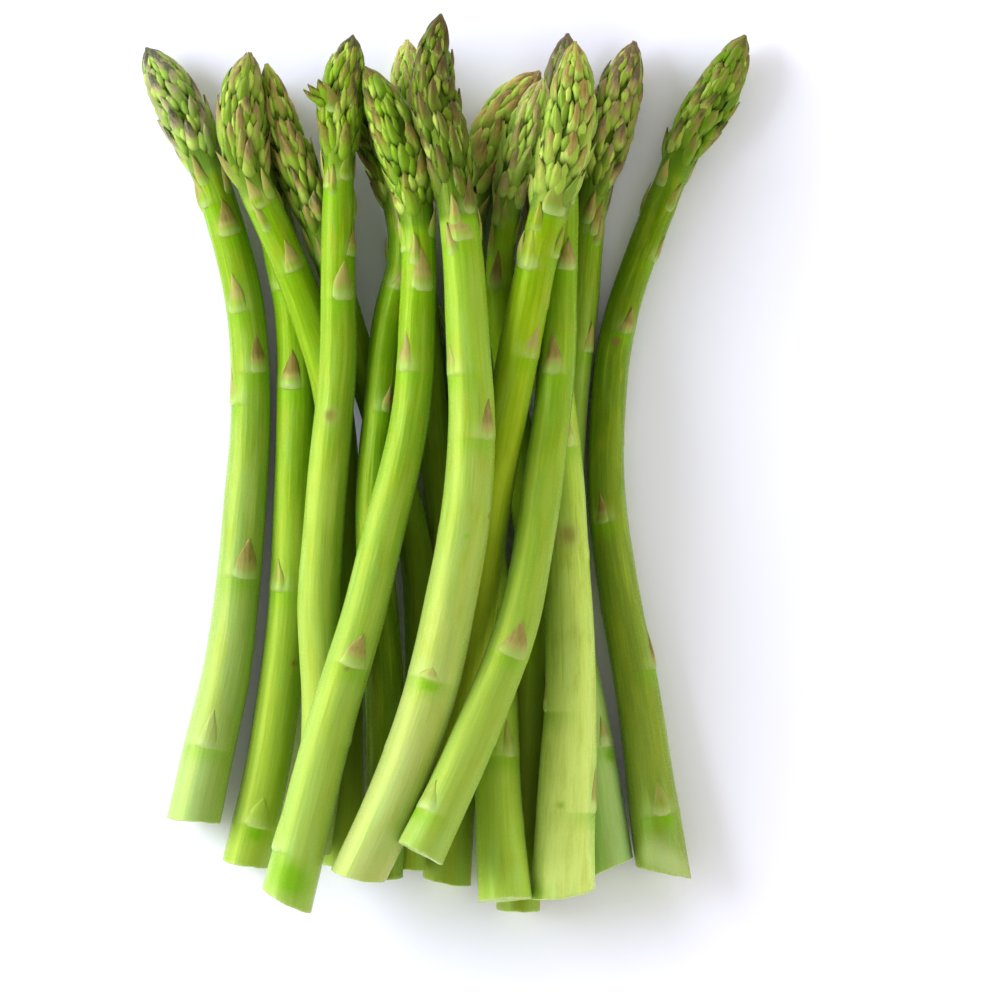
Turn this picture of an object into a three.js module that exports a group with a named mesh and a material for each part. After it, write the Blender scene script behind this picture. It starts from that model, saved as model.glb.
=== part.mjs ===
// A bunch of green asparagus: sixteen cut spears lying in a loose pile on a table.
//
// Millimetres. +X runs across the bunch, +Y along it towards the tips, and +Z up from the table.
// The origin is on the table, under the middle of the bunch.
//
// A spear grew as one piece, so it is one closed solid: a turned shape, from its point to its cut
// end, bent along the line that the spear lies on. That line is drawn as seen from above. Its
// height and slope are worked out from the table and from the spears beneath it.

import * as THREE from 'three';

// Air left between two spears that touch.
const TOUCHING_GAP = 0.3;
// Corners in a spear's cross-section, and the length of stem from one section to the next.
const SECTION_CORNERS = 12;
const STEM_STEP = 13;
// Contact between spears is looked for at this finer step.
const CONTACT_STEP = 2.5;
// A spear grew with a slight bow, and lies with it turned up, down or sideways, whichever lets it
// lie lowest. These are the bow's rises at the middle of the spear. A bow is a parabola, so its
// mean rise is this share of the rise at its middle.
const BOWS = [-6, -3, 0, 3, 6];
const MEAN_BOW = 2 / 3;
// A few spears lean on one another, so the pile is settled more than once.
const SETTLING_PASSES = 12;
// The slant of a cut end fades out over this length of stem.
const CUT_FADE = 14;
// Steps in which a spear's line is measured.
const LINE_DIVISIONS = 400;

// A head has its full width between these shares of its length, and this power rounds its point.
const HEAD_FILLS = 0.42;
const HEAD_WANES = 0.66;
const HEAD_ROUNDING = 0.7;
// Sections of the head, as shares of its length.
const HEAD_SECTIONS = [0.04, 0.12, 0.25, HEAD_FILLS, HEAD_WANES, 0.83, 1];

// The spears, from left to right by their tips.
//   line   the middle of the spear, from tip to cut end, as seen from above
//   stem   its diameter below the head, halfway down and at the cut end
//   head   the length and width of the scaly head
//   layer  which spear lies on which, at the tip and at the end: the higher number is on top
//   cut    the cut face's slant in degrees, positive where the +X side is the longer one
//   color  the skin's mean colour
const SPEARS = {
  spear_01: {
    line: [[-75.4, 104.9], [-65, 86], [-55.3, 59.5], [-50.2, 35], [-49.5, 10], [-51.8, -21],
      [-54.5, -46], [-60.3, -73.5], [-63.8, -88.8]],
    stem: [9, 10.6, 13.7],
    head: [33, 11.2],
    layer: [0, 0],
    cut: -7,
    color: 0x9ccc55,
  },
  spear_02: {
    line: [[-49.5, 103.2], [-51.5, 90], [-49.8, 75], [-44, 61.2], [-36.8, 44], [-31.2, 27.8],
      [-28.8, 16.5], [-27.2, 4], [-26.5, -13.5], [-26.2, -33.5], [-26.2, -58.5], [-26.2, -100]],
    stem: [8.8, 9.8, 11],
    head: [34, 10.8],
    layer: [1.5, 1.5],
    cut: 5,
    color: 0x8fbf3f,
  },
  spear_03: {
    line: [[-47.8, 96.5], [-46, 79], [-42.3, 56], [-38.8, 38], [-38, 16], [-38.6, -8],
      [-39.5, -33.5], [-42.5, -58.5], [-45.8, -78.8], [-50.8, -99.8]],
    stem: [8.6, 10.5, 11.5],
    head: [30, 10],
    layer: [0, 0],
    cut: -3,
    color: 0x8aba35,
  },
  spear_04: {
    line: [[-45.2, 100.5], [-42.3, 88], [-37.8, 75.2], [-31.2, 56.5], [-24.2, 34], [-17.2, 11.5],
      [-10.8, -8.5], [-7.5, -23.5], [-6.5, -38.5], [-6.8, -56], [-8, -73.5], [-10, -100.8]],
    stem: [7.6, 8.2, 9.2],
    head: [46, 9],
    layer: [1, 1],
    cut: 0,
    color: 0x6f8f35,
  },
  spear_05: {
    line: [[-23.5, 107.5], [-26.3, 92], [-27.2, 72], [-27.2, 52.5], [-27.3, 26.5], [-29, 5],
      [-31.4, -22], [-32, -38], [-31, -58], [-31.5, -75], [-34.5, -96]],
    stem: [7.6, 10.2, 11],
    head: [32, 10],
    layer: [3.5, 3.5],
    cut: 0,
    color: 0x90c030,
  },
  spear_06: {
    line: [[-22.8, 94.5], [-18, 83], [-13.4, 71.5], [-10.2, 57], [-11.4, 47], [-14, 37], [-16.4, 14],
      [-18.2, -13], [-17.2, -36], [-15.4, -58.5], [-15.3, -83.5], [-16, -102.5]],
    stem: [8.8, 9.6, 10],
    head: [32, 10],
    layer: [2.5, 2.5],
    cut: 0,
    color: 0x7fb030,
  },
  spear_07: {
    line: [[-20.3, 99.5], [-14.3, 87], [-9.5, 74], [-7, 56.5], [-7.3, 38.8], [-8.5, 18],
      [-11, 2.5], [-15.8, -17], [-20.8, -37], [-27.3, -58.8], [-33.5, -82], [-39.9, -108]],
    stem: [8.6, 10.6, 13.4],
    head: [41, 11],
    layer: [5, 5],
    cut: 13,
    color: 0x9cc840,
  },
  spear_08: {
    line: [[-10.1, 106.9], [-9.5, 86.5], [-8.5, 69], [-7, 50.2], [-5.2, 31.5], [-3.5, 11.5],
      [-1.5, -8.5], [0.5, -28.5], [1.8, -43.5], [2.2, -58.5], [1.8, -73.5], [0.8, -91],
      [-0.2, -104.2]],
    stem: [7, 9, 12.4],
    head: [32, 8.8],
    layer: [0.5, 0.5],
    cut: 6,
    color: 0x86a83a,
  },
  spear_09: {
    line: [[-1.5, 112.5], [-3.2, 103], [-3.1, 93], [0.5, 77], [3.5, 57], [5.2, 33], [6.2, 12], [4.8, -12],
      [1, -33], [-3.2, -53], [-7.8, -68], [-14.8, -86.5], [-22, -101.8]],
    stem: [9.6, 12.6, 13.6],
    head: [50, 11],
    layer: [5, 5],
    cut: -13,
    color: 0xb4d070,
  },
  spear_10: {
    line: [[23, 99], [15, 88], [9.5, 76], [5.5, 61.5], [3.5, 41.5], [4.2, 26.5], [6.2, 9],
      [8.8, -11], [10.8, -28.5], [11.8, -43.5], [12.4, -58.5], [12.6, -73.5], [13, -87.5],
      [14.5, -108.2]],
    stem: [9, 9.2, 13.4],
    head: [38, 12.6],
    layer: [1, 3.2],
    cut: 0,
    color: 0x6d8430,
  },
  spear_11: {
    line: [[24, 96.5], [20.2, 85.2], [16, 69], [13.5, 54], [13.5, 41.5], [14.8, 29], [17.5, 9],
      [20.2, -11], [21.2, -28.5], [20.8, -43.5], [20.5, -58.5], [19.8, -73.5], [18.8, -91],
      [17.8, -111.2]],
    stem: [6.8, 8.2, 11],
    head: [34, 9],
    layer: [2, 2],
    cut: 0,
    color: 0x8cba48,
  },
  spear_12: {
    line: [[27.2, 81.5], [26.5, 72.8], [25.5, 62.8], [25, 51.5], [25.2, 39], [26, 26.5],
      [27.2, 14], [29, -3.5], [29.8, -18.5], [30.5, -35], [30.9, -53.5], [30.3, -75], [28.6, -106.8]],
    stem: [9.8, 11.6, 16.4],
    head: [34, 11],
    layer: [1.4, 2.9],
    cut: -11,
    color: 0xa0c450,
  },
  spear_13: {
    line: [[30.2, 108.2], [28.4, 90], [28.2, 65], [27.9, 43], [26.8, 18], [24.5, 0], [21.5, -21],
      [17.6, -39], [12.2, -54.5], [3.8, -74], [-6.5, -96]],
    stem: [9.2, 10, 12.2],
    head: [35, 9.5],
    layer: [1, 7],
    cut: 3,
    color: 0x8fc445,
  },
  spear_14: {
    line: [[31.9, 105.4], [31, 87], [28, 73.5], [24.4, 60], [20.8, 42.8], [16.3, 20],
      [12, -2], [8.8, -22.8], [5.8, -44], [2, -63.5], [-2, -85]],
    stem: [9.8, 10.6, 11],
    head: [42, 11.8],
    layer: [4.1, 4.1],
    cut: 0,
    color: 0x93b530,
  },
  spear_15: {
    line: [[47, 106.4], [41.8, 89], [37.5, 72], [34.8, 53.8], [33.2, 34], [31, 15], [29.8, -1],
      [29.5, -16], [30.2, -31], [32, -46], [34.2, -58.5], [37.5, -77.5], [41, -100.5]],
    stem: [8, 9.6, 11.8],
    head: [41, 11.5],
    layer: [0.5, 0.5],
    cut: -15,
    color: 0x72902f,
  },
  spear_16: {
    line: [[74.6, 108], [68.2, 94.5], [60.8, 82.8], [54.5, 68], [47, 48.5], [42.3, 32.3],
      [40.2, 12], [40, -8], [42.6, -27.8], [47, -52], [50.3, -74], [54.3, -101.8]],
    stem: [7.8, 9.6, 13.3],
    head: [37, 10.4],
    layer: [0, 0],
    cut: 20,
    color: 0x6f9420,
  },
};

const UP = new THREE.Vector3(0, 0, 1);
const ROUGHNESS = 0.5;

// A spear as drawn above, with its line as a curve. Its middle is at tipHeight above the table at
// the tip, changes by slope for each millimetre along it, and bows up by bow halfway.
function drawSpear(name, spec) {
  const line = new THREE.CatmullRomCurve3(spec.line.map(([x, y]) => new THREE.Vector3(x, y, 0)));
  line.arcLengthDivisions = LINE_DIVISIONS;
  return { name, ...spec, line, length: line.getLength(), tipHeight: 0, slope: 0, bow: 0 };
}

// The width of the head swells from its point, and eases into the stem below its widest part.
// A share of 0 is the point and 1 is the foot of the head.
function headRadius(spear, share) {
  const fullRadius = spear.head[1] / 2;
  if (share < HEAD_FILLS) {
    return fullRadius * Math.sin((Math.PI / 2) * (share / HEAD_FILLS)) ** HEAD_ROUNDING;
  }
  const easing = THREE.MathUtils.smoothstep(share, HEAD_WANES, 1);
  return THREE.MathUtils.lerp(fullRadius, spear.stem[0] / 2, easing);
}

// The stem's diameter runs smoothly through its three stated values.
function stemRadius(spear, share) {
  const [top, middle, foot] = spear.stem;
  const diameter = top * (1 - share) * (1 - 2 * share)
    + middle * 4 * share * (1 - share)
    + foot * share * (2 * share - 1);
  return diameter / 2;
}

function radiusAt(spear, along) {
  const headLength = spear.head[0];
  if (along <= headLength) {
    return headRadius(spear, along / headLength);
  }
  return stemRadius(spear, (along - headLength) / (spear.length - headLength));
}

function layerAt(spear, along) {
  return THREE.MathUtils.lerp(spear.layer[0], spear.layer[1], along / spear.length);
}

function bowRise(spear, bow, along) {
  const share = along / spear.length;
  return bow * 4 * share * (1 - share);
}

function heightAt(spear, along) {
  return spear.tipHeight + spear.slope * along + bowRise(spear, spear.bow, along);
}

// How steeply a spear's middle rises at a place along it.
function steepnessAt(spear, along) {
  return spear.slope + (spear.bow * 4 * (1 - (2 * along) / spear.length)) / spear.length;
}

// Points at equal steps along a spear, each with what contact needs to know there.
function contactStations(spear) {
  const count = Math.ceil(spear.length / CONTACT_STEP);
  return Array.from({ length: count + 1 }, (_, i) => {
    const along = (spear.length * i) / count;
    const { x, y } = spear.line.getPointAt(i / count);
    return { x, y, along, radius: radiusAt(spear, along), layer: layerAt(spear, along) };
  });
}

// How high the spear's middle has to be at each station, to clear the table and what lies below.
function lowestHeights(spear, others) {
  const needed = [];
  for (const station of spear.stations) {
    let height = station.radius;
    for (const other of others) {
      for (const below of other.stations) {
        const reach = station.radius + below.radius + TOUCHING_GAP;
        const apart = Math.hypot(station.x - below.x, station.y - below.y);
        if (apart < reach && station.layer > below.layer) {
          const rise = Math.sqrt(reach ** 2 - apart ** 2);
          height = Math.max(height, heightAt(other, below.along) + rise);
        }
      }
    }
    needed.push({ along: station.along, height });
  }
  return needed;
}

// A rigid spear comes to rest on two supports, one on each side of its centre of mass. They are
// the pair whose joining line passes highest over that centre.
function supportingLine(needed, balance) {
  const towardsTip = needed.filter((point) => point.along < balance);
  const towardsEnd = needed.filter((point) => point.along >= balance);
  let found = { overBalance: -Infinity };
  for (const a of towardsTip) {
    for (const b of towardsEnd) {
      const slope = (b.height - a.height) / (b.along - a.along);
      const overBalance = a.height + slope * (balance - a.along);
      if (overBalance > found.overBalance) {
        found = { overBalance, slope, tipHeight: a.height - slope * a.along };
      }
    }
  }
  return found;
}

function rest(spear, others) {
  const needed = lowestHeights(spear, others);
  let lowest = Infinity;
  for (const bow of BOWS) {
    const straightened = needed.map(({ along, height }) => (
      { along, height: height - bowRise(spear, bow, along) }
    ));
    const { overBalance, slope, tipHeight } = supportingLine(straightened, spear.balance);
    const massHeight = overBalance + MEAN_BOW * bow;
    if (massHeight < lowest) {
      lowest = massHeight;
      Object.assign(spear, { slope, tipHeight, bow });
    }
  }
}

// Distance from the tip to the centre of mass.
function balancePoint(stations) {
  const area = (station) => station.radius ** 2;
  const total = stations.reduce((sum, station) => sum + area(station), 0);
  return stations.reduce((sum, station) => sum + area(station) * station.along, 0) / total;
}

function settle(spears) {
  for (const spear of spears) {
    spear.stations = contactStations(spear);
    spear.balance = balancePoint(spear.stations);
  }
  const meanLayer = (spear) => spear.layer[0] + spear.layer[1];
  const bottomFirst = [...spears].sort((a, b) => meanLayer(a) - meanLayer(b));
  for (let pass = 0; pass < SETTLING_PASSES; pass += 1) {
    for (const spear of bottomFirst) {
      rest(spear, spears.filter((other) => other !== spear));
    }
  }
}

// Half the outline of a straightened spear: distance from its middle, and distance from its tip.
function profile(spear) {
  const headLength = spear.head[0];
  const stemLength = spear.length - headLength;
  const stemSections = Math.ceil(stemLength / STEM_STEP);
  const outline = [new THREE.Vector2(0, 0)];
  for (const share of HEAD_SECTIONS) {
    outline.push(new THREE.Vector2(headRadius(spear, share), share * headLength));
  }
  for (let i = 1; i <= stemSections; i += 1) {
    const share = i / stemSections;
    outline.push(new THREE.Vector2(stemRadius(spear, share), headLength + share * stemLength));
  }
  outline.push(new THREE.Vector2(0, spear.length));
  return outline;
}

// Moves a point of the straight spear, whose y is its distance from the tip, on to the spear's
// own line.
function bend(point, spear) {
  const along = Math.min(point.y, spear.length);
  const share = along / spear.length;
  const middle = spear.line.getPointAt(share).setZ(heightAt(spear, along));
  const forward = spear.line.getTangentAt(share).setZ(steepnessAt(spear, along)).normalize();
  const side = new THREE.Vector3().crossVectors(forward, UP).normalize();
  const top = new THREE.Vector3().crossVectors(side, forward);
  const slant = Math.tan(THREE.MathUtils.degToRad(spear.cut));
  const fade = THREE.MathUtils.smoothstep(along, spear.length - CUT_FADE, spear.length);
  return middle
    .addScaledVector(side, point.x)
    .addScaledVector(top, point.z)
    .addScaledVector(forward, -point.x * slant * fade);
}

function spearMesh(spear) {
  const geometry = new THREE.LatheGeometry(profile(spear), SECTION_CORNERS);
  const positions = geometry.getAttribute('position');
  const point = new THREE.Vector3();
  for (let i = 0; i < positions.count; i += 1) {
    const bent = bend(point.fromBufferAttribute(positions, i), spear);
    positions.setXYZ(i, bent.x, bent.y, bent.z);
  }
  geometry.computeVertexNormals();
  const material = new THREE.MeshStandardMaterial({
    color: spear.color,
    roughness: ROUGHNESS,
    metalness: 0,
  });
  const mesh = new THREE.Mesh(geometry, material);
  mesh.name = spear.name;
  return mesh;
}

function bunch() {
  const spears = Object.entries(SPEARS).map(([name, spec]) => drawSpear(name, spec));
  settle(spears);
  const group = new THREE.Group();
  spears.forEach((spear) => group.add(spearMesh(spear)));
  const box = new THREE.Box3().setFromObject(group, true);
  const centre = box.getCenter(new THREE.Vector3());
  group.position.set(-centre.x, -centre.y, -box.min.z);
  return group;
}

export default bunch();
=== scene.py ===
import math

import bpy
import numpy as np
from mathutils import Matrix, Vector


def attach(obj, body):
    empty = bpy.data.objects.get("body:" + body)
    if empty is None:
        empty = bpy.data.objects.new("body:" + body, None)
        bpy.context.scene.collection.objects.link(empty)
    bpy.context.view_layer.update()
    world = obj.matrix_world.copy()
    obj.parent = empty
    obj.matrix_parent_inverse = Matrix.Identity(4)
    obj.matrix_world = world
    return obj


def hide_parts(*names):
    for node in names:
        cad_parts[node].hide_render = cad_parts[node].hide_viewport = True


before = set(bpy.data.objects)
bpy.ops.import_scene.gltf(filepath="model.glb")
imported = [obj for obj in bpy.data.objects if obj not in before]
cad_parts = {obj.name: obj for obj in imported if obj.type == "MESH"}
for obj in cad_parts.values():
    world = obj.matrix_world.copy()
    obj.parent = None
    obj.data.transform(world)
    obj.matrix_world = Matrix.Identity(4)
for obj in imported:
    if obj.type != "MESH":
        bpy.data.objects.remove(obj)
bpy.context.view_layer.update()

# A bunch of green asparagus lying on a pale table, seen from straight above.
#
# Each CAD spear is replaced by one detailed spear on the same middle line: a ribbed stem with
# scale leaves, a head of overlapping scales with buds under them, and a cut end. A spear is
# drawn straight first, in millimetres: along is the distance from its tip, and up and across
# are places in its cross-section. Spine.place then bends it on to the CAD spear's line.

MM = 0.001
UP = np.array([0.0, 0.0, 1.0])
# From one scale or leaf of a spiral to the next.
GOLDEN_ANGLE = math.radians(137.5)

# The CAD spear's ring at the foot of its head, counted from the tip.
HEAD_RING = 7
# The slant of a cut end fades out over this length, and its upper side is longer by this angle.
CUT_FADE = 14.0
CUT_LEAN = math.radians(4)
# Scales and stems that touch the table are flattened on it, in this last stretch above it.
PRESSED = 0.3
# The stem swells into a low collar above the foot of each of its leaves: its height, its share
# of that round the back, how far above the foot it begins and how far above it is full, and
# the stretch past the foot over which it ends.
COLLAR_HEIGHT = 0.2
COLLAR_BACK = 0.15
COLLAR_LENGTH = 5.0
COLLAR_FULL = 0.4
COLLAR_END = (-0.1, 0.6)

# What the material reads from each vertex: how dry a scale is, how pale, how much it's a bud,
# how far down the stem, the cut face, painted shade in the head's hollows and at the feet of its
# scales and buds, brown scars, lush green marks, and a chance tone that differs from scale to
# scale.
VALUES = ("dry", "pale", "bud", "foot", "cut", "deep", "scar", "lush", "tone")
# The marks on a stem, which SPEARS lists.
MARKS = ("scars", "knots", "greens", "pales")

# Each spear's look.
#   skin    the stem's colour below the head and at the cut end
#   head    the colours of its fresh scales, of dry ones and of their tips
#   dried   how dry the scales of the head are
#   tip     how much drier they are towards its tip, or fresher where it is negative
#   leaves  the stem's scale leaves that show from above: x and y of the middle of the base in
#           the frame, length, width, how dry it is, and for some how far out the tip stands
#   tuft    x and y of a side bud that stands open
#   scars   brown scars: x, y and radius
#   knots   round scars with a raised rim: x, y and radius
#   greens  lush green marks: x, y and radius
#   pales   pale marks: x, y and radius
# Some of these colours also hold painted light and shade: the lower stems of spear_08, spear_10,
# spear_12, spear_14 and spear_15, the stem top of spear_11 and the heads of spear_04, spear_08,
# spear_10 and spear_11 are made brighter as painted light, for places that lie in the shade of
# other spears here, and the stem of spear_06 is made darker as painted shade.
SPEARS = {
    "spear_01": dict(
        skin=("7b9f0c", "a2b66a"), head=("9cba58", "a49078", "40483e"), dried=0.75, tip=0.8,
        leaves=[
            (-53.9, 58, 9.2, 6, 0.85), (-60.6, 64.5, 9, 4.5, 0.45), (-52.4, 38.5, 10, 5.5, 0.6),
            (-46.9, 23.2, 9.5, 5.5, 0.95), (-54.6, 15, 9, 4.5, 0.5), (-50.6, -28.3, 10, 7.5, 0.75),
            (-60.6, -71, 9.5, 6.6, 0.25),
        ],
    ),
    "spear_02": dict(
        skin=("789c08", "9ab040"), head=("8ca43c", "957c56", "625038"), dried=0.6, tip=0.1,
        leaves=[(-46.4, 64.2, 8.5, 4.5, 0.6), (-37.4, 48.7, 8, 5.2, 0.7)],
    ),
    "spear_03": dict(
        skin=("739b02", "9cb446"), head=("86a23c", "907856", "57503a"), dried=0.6, tip=0.3,
        leaves=[
            (-41.4, 44, 9, 4.2, 0.1), (-38.9, 19.2, 9.5, 6, 1), (-42.1, -31.5, 8, 4, 0.4),
            (-47.6, -91, 7.5, 8.5, 0.12),
        ],
        scars=[(-37.9, -50, 0.8)],
        greens=[(-47.4, -92.8, 1.5)],
    ),
    "spear_04": dict(
        skin=("78a010", "a2b842"), head=("a0ba44", "ac8c5e", "606044"), dried=0.8, tip=-0.35,
        leaves=[(-30.9, 50.5, 7, 3, 0.6)],
    ),
    "spear_05": dict(
        skin=("779d08", "aabc5a"), head=("7ea022", "83723e", "3e4030"), dried=0.5, tip=0.6,
        leaves=[
            (-29.4, 68.7, 5, 4, 0.5), (-25.1, 70.7, 7.5, 4, 0.3), (-23.1, 52.2, 7.5, 4.5, 0.8),
            (-25.4, 41.2, 9.5, 6.2, 0.5),
        ],
        tuft=(-30.5, 88.5),
        knots=[(-28.6, 12.2, 1.4)],
    ),
    "spear_06": dict(
        skin=("6a920c", "667e22"), head=("748a28", "866a48", "4a4832"), dried=0.7, tip=0.2,
        leaves=[(-12.4, 43.2, 6.5, 3.8, 0.8), (-14.6, 13, 6.8, 3.2, 0.7)],
    ),
    "spear_07": dict(
        skin=("779b0c", "9eb656"), head=("789a24", "836e3c", "54502c"), dried=0.55, tip=0.15,
        leaves=[
            (-5.4, 43.2, 10.5, 6, 0.75), (-11.1, 53, 8, 4, 0.15), (-10.1, 23, 9.8, 5.2, 0.7),
            (-22.9, -50.3, 8.5, 7, 0.75), (-42.8, -95.5, 10, 8.5, 0.03, 0.0),
        ],
        scars=[(-24.1, -50.8, 0.6)],
        greens=[(-7.9, -6, 0.9), (-10.4, 16.2, 0.6), (-40.6, -102, 4.2), (-36, -103.5, 4)],
    ),
    "spear_08": dict(
        skin=("80a010", "a4b848"), head=("bce264", "bea670", "7c7850"), dried=0.5, tip=0.1,
        leaves=[(-9.1, 78.5, 6.5, 3, 0.5), (-2.9, -24, 6.5, 3, 0.5)],
    ),
    "spear_09": dict(
        skin=("87aa2c", "b0ba6c"), head=("546018", "624e36", "463826"), dried=0.7, tip=0.5,
        leaves=[
            (3.4, 55.2, 6.6, 8.2, 0.7), (1.6, 22, 7.5, 4, 0.4), (10.1, 6.5, 9.5, 6, 0.85),
            (-4.4, -53.3, 3, 6.5, 0.35), (6.4, 62, 9, 4.5, 0.7, 1.6),
        ],
        scars=[(12.1, -13.5, 0.7)],
        greens=[(-5.4, -54.8, 1.3), (-3.2, -55.4, 1.2), (5.6, -18, 0.6)],
    ),
    "spear_10": dict(
        skin=("749e0e", "aac64e"), head=("c6e464", "ccaa6c", "887050"), dried=0.8, tip=0.2,
        leaves=[
            (-1.1, -3.5, 7.5, 3, 0.7), (16.1, -73.5, 9, 4.5, 0.35), (-0.6, 31.7, 8, 3, 0.2, 1.8),
        ],
    ),
    "spear_11": dict(
        skin=("9cc41a", "9aac42"), head=("c6e66c", "bca878", "948458"), dried=0.5, tip=0.1,
        leaves=[
            (12.4, 60.7, 10, 3.8, 0.6), (12.4, 44.2, 9.5, 3.8, 0.9), (18.6, 64, 8.5, 3.8, 0.95),
        ],
    ),
    "spear_12": dict(
        skin=("98b630", "d4e482"), head=("88a83c", "96805c", "6a5c44"), dried=0.5, tip=0.1,
        leaves=[
            (30.9, 4.5, 10.5, 4.2, 0.7), (37.1, -87, 10.5, 4.2, 0.6), (24.9, -61.5, 7.5, 3.8, 0.4),
        ],
        knots=[(30.3, -18, 2.2)],
        greens=[(28.6, -84.8, 0.9), (22.8, -106, 3)],
    ),
    "spear_13": dict(
        skin=("749a0c", "9ab04e"), head=("828a50", "857460", "5c5248"), dried=0.9, tip=0.6,
        leaves=[
            (30.6, 48.5, 8, 5.5, 0.85), (26.6, 22, 10.2, 6, 0.85), (16.4, -48.3, 9, 7.5, 0.8),
            (-5.4, -86, 7.5, 6.5, 0.25),
        ],
        greens=[(-8.4, -86.8, 1.4)],
    ),
    "spear_14": dict(
        skin=("829f0a", "bccf3c"), head=("a0b850", "9c8250", "86683a"), dried=0.5, tip=0.1,
        leaves=[
            (26.9, 62.7, 8.5, 7.5, 0.3), (20.1, 49.2, 11, 7.2, 0.25), (27.9, 51.7, 8, 3.5, 0.2),
            (21.4, 26.7, 9, 5, 0.6),
        ],
    ),
    "spear_15": dict(
        skin=("7c981a", "acc87e"), head=("9cb048", "9c8060", "605242"), dried=0.85, tip=0.35,
        leaves=[
            (37.9, 57.7, 9, 4.5, 0.85), (36.1, 28.2, 7.5, 4, 0.6), (40.6, -71, 7.5, 4.5, 0.5),
        ],
        greens=[(41.4, -73.3, 1.4)],
    ),
    "spear_16": dict(
        skin=("628004", "84963e"), head=("6c9022", "8c7c48", "465228"), dried=0.6, tip=0.45,
        leaves=[
            (52.6, 51, 7, 3, 0.6), (45.1, 33, 7, 3.5, 0.9), (39.4, -14.5, 7.5, 3, 0.9),
            (52.4, -51, 9, 3.5, 0.95), (54.6, -88, 8.5, 6, 0.3),
        ],
        greens=[(43.9, 31, 1.4), (55.6, -89.5, 1), (52.6, -98, 1.3), (41.9, 1.7, 0.5)],
        pales=[(53.2, -98.5, 4.5), (58.6, -100.5, 4.5)],
        scars=[(42.9, 30.6, 1.3)],
    ),
}


def add_object(name, data):
    added = bpy.data.objects.new(name, data)
    bpy.context.scene.collection.objects.link(added)
    return added


def smoothstep(value, low, high):
    share = np.clip((value - low) / (high - low), 0, 1)
    return share * share * (3 - 2 * share)


def unit(vectors):
    return vectors / np.linalg.norm(vectors, axis=-1, keepdims=True)


def signed(angle):
    """The same direction as an angle between minus and plus half a turn."""
    return np.angle(np.exp(1j * angle))


def curve(knots, values, at):
    """A smooth curve through the values at the knots, carried on straight past both ends."""
    slopes = np.gradient(values, knots, axis=0)
    inside = np.clip(at, knots[0], knots[-1])
    low = np.clip(np.searchsorted(knots, inside, side="right") - 1, 0, len(knots) - 2)
    span = knots[low + 1] - knots[low]
    t = (inside - knots[low]) / span
    beyond = at - inside
    if values.ndim > 1:
        t, span, beyond = t[..., None], span[..., None], beyond[..., None]
    read = (2 * t**3 - 3 * t**2 + 1) * values[low]
    read = read + (t**3 - 2 * t**2 + t) * span * slopes[low]
    read = read + (3 * t**2 - 2 * t**3) * values[low + 1]
    read = read + (t**3 - t**2) * span * slopes[low + 1]
    return read + beyond * np.where(t > 0.5, slopes[low + 1], slopes[low])


def pressed_on_table(points):
    """What would reach through the table lies flat on it, within PRESSED millimetres of it."""
    low = np.minimum(points[..., 2], PRESSED)
    high = np.maximum(points[..., 2], PRESSED)
    points[..., 2] = high * np.exp(low / PRESSED - 1)
    return points


def rings_of(mesh):
    """A CAD spear's corners in millimetres, ring by ring from its tip to its cut face's middle.
    Corners within a micrometre of each other are one."""
    corners = np.array([vertex.co for vertex in mesh.vertices])
    points, place = np.unique(np.round(corners, 6), axis=0, return_inverse=True)
    place = place.ravel()
    neighbours = [set() for _ in points]
    for edge in mesh.edges:
        a, b = place[edge.vertices[0]], place[edge.vertices[1]]
        neighbours[a].add(b)
        neighbours[b].add(a)
    ring = [int(np.argmax(points[:, 1]))]
    seen = set(ring)
    rings = []
    while ring:
        rings.append(points[ring] / MM)
        ring = sorted({n for corner in ring for n in neighbours[corner]} - seen)
        seen.update(ring)
    return rings


class Spine:
    """A CAD spear's middle line and thickness, read at any distance from its tip."""

    def __init__(self, node):
        rings = rings_of(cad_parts[node].data)[:-1]
        self.centres = np.array([ring.mean(axis=0) for ring in rings])
        steps = np.linalg.norm(np.diff(self.centres, axis=0), axis=1)
        self.knots = np.concatenate([[0.0], np.cumsum(steps)])
        self.length = self.knots[-1]
        self.head_length = float(self.knots[HEAD_RING])
        self.radii = np.zeros(len(rings))
        for i, ring in enumerate(rings):
            forward, side, top = self.axes(self.knots[i])
            offsets = ring - self.centres[i]
            self.radii[i] = np.hypot(offsets @ side, offsets @ top).mean()
        # The last ring is the rim of the cut face, whose slant is read from it.
        across = offsets @ side
        self.slant = (across @ (offsets @ forward)) / (across @ across)

    def centre(self, along):
        return curve(self.knots, self.centres, along)

    def radius(self, along):
        return np.maximum(curve(self.knots, self.radii, along), 0)

    def down_stem(self, along):
        """0 in the head and at its foot, and 1 at the cut end."""
        return np.clip((along - self.head_length) / (self.length - self.head_length), 0, 1)

    def axes(self, along):
        """Directions at a place on the line: towards the cut end, sideways and up."""
        along = np.asarray(along, float)
        forward = unit(self.centre(along + 0.5) - self.centre(along - 0.5))
        side = unit(np.cross(forward, UP))
        return forward, side, np.cross(side, forward)

    def place(self, along, up, across):
        """Points of the straight spear, moved on to the real one, in metres."""
        along, up, across = np.broadcast_arrays(along, up, across)
        forward, side, top = self.axes(along)
        slant = self.slant * across + math.tan(CUT_LEAN) * up
        slant = slant * smoothstep(along, self.length - CUT_FADE, self.length)
        points = self.centre(along) + up[..., None] * top + across[..., None] * side
        return pressed_on_table(points + slant[..., None] * forward) * MM

    def nearest(self, x, y, samples=400, most_aside=0.95):
        """The distance along, and the angle round the stem, of a place seen from above."""
        along = np.linspace(0, self.length, samples)
        gaps = self.centre(along)[:, :2] - np.array([x, y])
        at = along[np.argmin(np.hypot(gaps[:, 0], gaps[:, 1]))]
        side = self.axes(at)[1]
        aside = (np.array([x, y]) - self.centre(at)[:2]) @ side[:2]
        return at, math.asin(np.clip(aside / self.radius(at), -most_aside, most_aside))


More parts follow.
